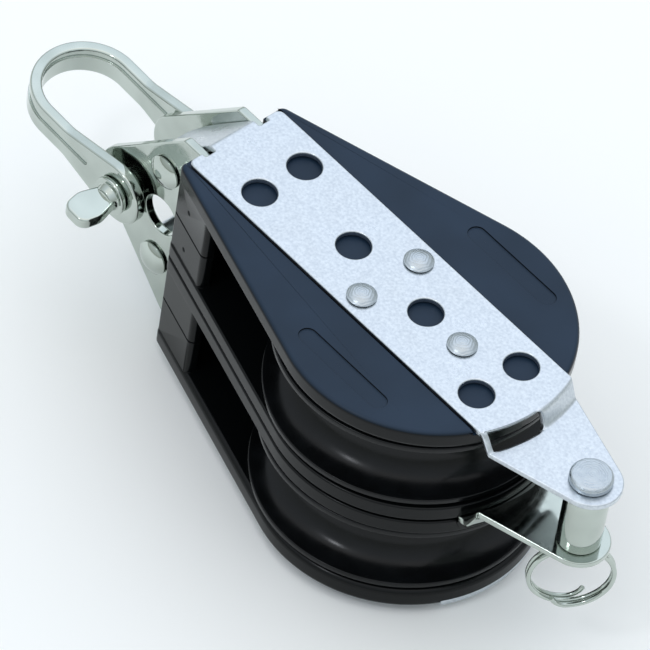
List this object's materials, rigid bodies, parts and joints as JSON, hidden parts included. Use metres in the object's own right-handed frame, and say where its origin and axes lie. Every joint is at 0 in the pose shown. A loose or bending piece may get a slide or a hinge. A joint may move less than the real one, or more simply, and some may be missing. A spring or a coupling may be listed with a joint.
{
  "type": "double sheave block",
  "caption": "Side-by-side rope block with dark cheeks, stainless straps, a bow shackle on bolted lugs at its head and a clevis becket at its tail.",
  "frame": {"origin": "under the middle of the bounding box, on the surface that the block's side lies on", "axes": "+X runs from the shackle to the becket, +Z is the axis of both sheaves and points to the side that carries the upper becket arm"},
  "size_m": [0.158, 0.0572, 0.055],
  "materials": {
    "stainless": "polished",
    "cheek_plastic": "satin, dark slate",
    "sheave_plastic": "glossy black",
    "hub_alloy": "turned",
    "ball_plastic": "ivory"
  },
  "bodies": {
    "block": {"axle_rivet_head_far": "stainless", "axle_rivet_head_near": "stainless", "axle_rivet_tail": "stainless", "cheek_bottom": "cheek_plastic", "cheek_mid_lower": "cheek_plastic", "cheek_mid_upper": "cheek_plastic", "cheek_top": "cheek_plastic", "cross_rivet_lower": "stainless", "cross_rivet_upper": "stainless", "cross_tube_lower": "stainless", "cross_tube_upper": "stainless", "hub_lower": "hub_alloy", "hub_upper": "hub_alloy", "lug_far": "stainless", "lug_near": "stainless", "strap_bottom": "stainless", "strap_centre": "stainless", "strap_top": "stainless"},
    "sheave_a": {"sheave_upper": "sheave_plastic"},
    "sheave_b": {"sheave_lower": "sheave_plastic"},
    "balls_a": {"balls_upper": "ball_plastic"},
    "balls_b": {"balls_lower": "ball_plastic"},
    "bow": {"shackle_bow": "stainless"},
    "grip_pin": {"shackle_pin": "stainless"},
    "bush": {"becket_bush": "stainless"},
    "clevis_pin": {"becket_pin": "stainless"},
    "ring": {"split_ring": "stainless"}
  },
  "joints": [
    {"name": "sheave_upper_spin", "type": "hinge", "parent": "block", "child": "sheave_a", "pos_m": [0.02661, 0, 0.03987], "axis": [0, 0, 1], "continuous": true},
    {"name": "sheave_lower_spin", "type": "hinge", "parent": "block", "child": "sheave_b", "pos_m": [0.02661, 0, 0.01517], "axis": [0, 0, 1], "continuous": true},
    {"name": "balls_upper_orbit", "type": "hinge", "parent": "block", "child": "balls_a", "pos_m": [0.02661, 0, 0.03987], "axis": [0, 0, 1], "continuous": true},
    {"name": "balls_lower_orbit", "type": "hinge", "parent": "block", "child": "balls_b", "pos_m": [0.02661, 0, 0.01517], "axis": [0, 0, 1], "continuous": true},
    {"name": "shackle_swing", "type": "hinge", "parent": "block", "child": "bow", "pos_m": [-0.04599, 0, 0.02752], "axis": [0, 1, 0], "range_deg": [-95, 90]},
    {"name": "shackle_pin_turn", "type": "hinge", "parent": "bow", "child": "grip_pin", "pos_m": [-0.04599, 0, 0.02752], "axis": [0, 1, 0], "continuous": true},
    {"name": "becket_bush_spin", "type": "hinge", "parent": "block", "child": "bush", "pos_m": [0.07281, 0, 0.03987], "axis": [0, 0, 1], "continuous": true},
    {"name": "becket_pin_turn", "type": "hinge", "parent": "block", "child": "clevis_pin", "pos_m": [0.07281, 0, 0.03987], "axis": [0, 0, 1], "continuous": true},
    {"name": "split_ring_swing", "type": "hinge", "parent": "clevis_pin", "child": "ring", "pos_m": [0.07281, 0, 0.03052], "axis": [0.5878, 0.809, 0], "range_deg": [-60, 60]}
  ],
  "couplings": [
    {"joint": "balls_upper_orbit", "follows": "sheave_upper_spin", "ratio": 0.5508},
    {"joint": "balls_lower_orbit", "follows": "sheave_lower_spin", "ratio": 0.5508}
  ]
}
